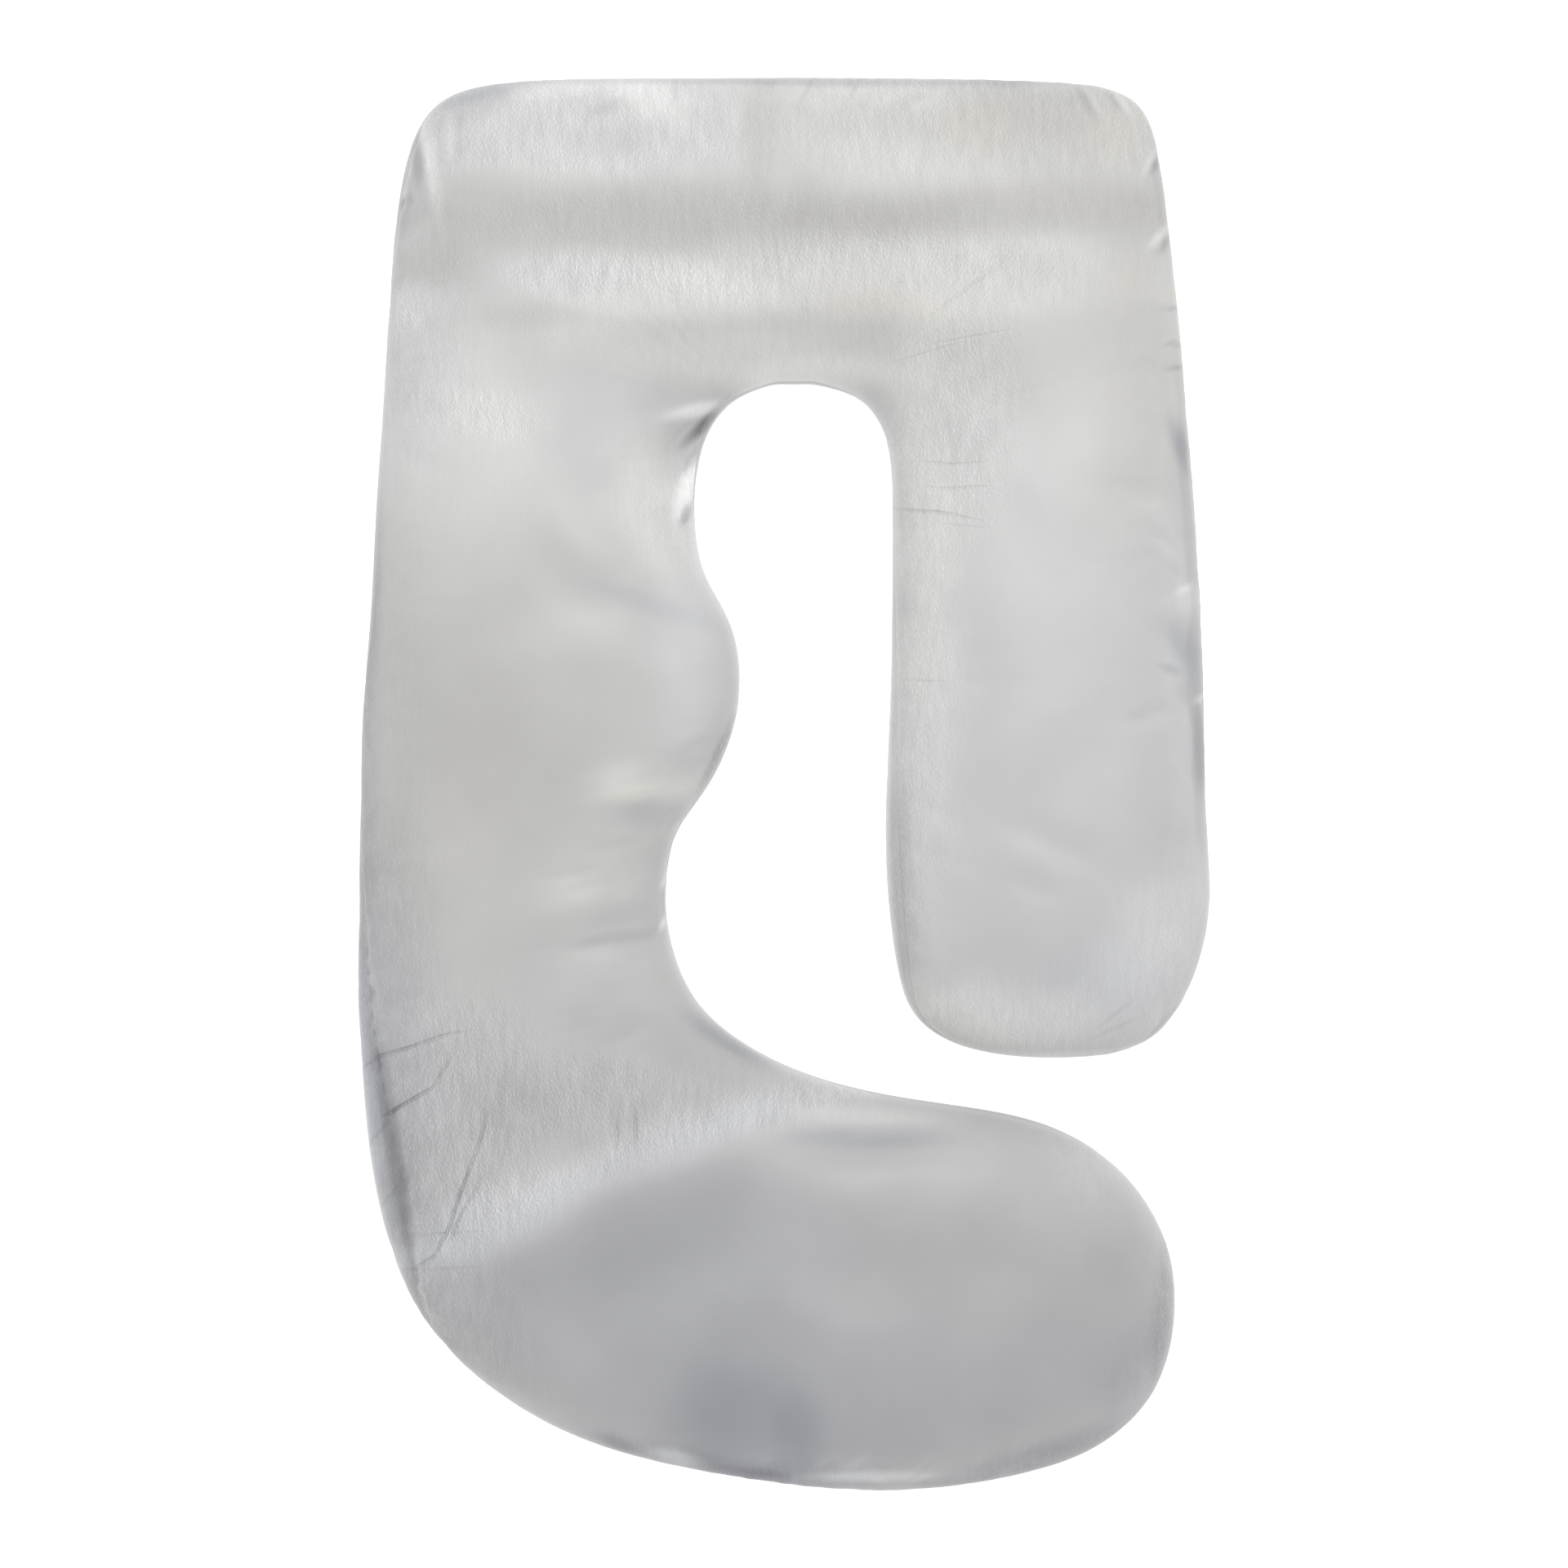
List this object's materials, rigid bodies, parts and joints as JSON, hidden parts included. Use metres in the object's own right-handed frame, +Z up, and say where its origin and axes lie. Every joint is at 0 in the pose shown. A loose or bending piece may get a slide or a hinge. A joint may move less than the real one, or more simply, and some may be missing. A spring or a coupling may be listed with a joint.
{
  "type": "j-shaped pregnancy pillow",
  "caption": "J-shaped full-body pregnancy pillow in short-pile velvet, stuffed all through, with a straight arm, a head bar, a long shaped arm and a fuller foot roll.",
  "frame": {"origin": "middle of the box's underside, on the surface that the pillow lies on", "axes": "+Y along the pillow's length, from the foot roll to the head bar; +X across it, from the long arm to the straight arm; +Z up, out of the face"},
  "size_m": [0.784, 1.3, 0.1607],
  "materials": {
    "velvet": "short-pile velvet, soft sheen"
  },
  "bodies": {
    "root": {"pillow": "velvet"}
  },
  "joints": []
}
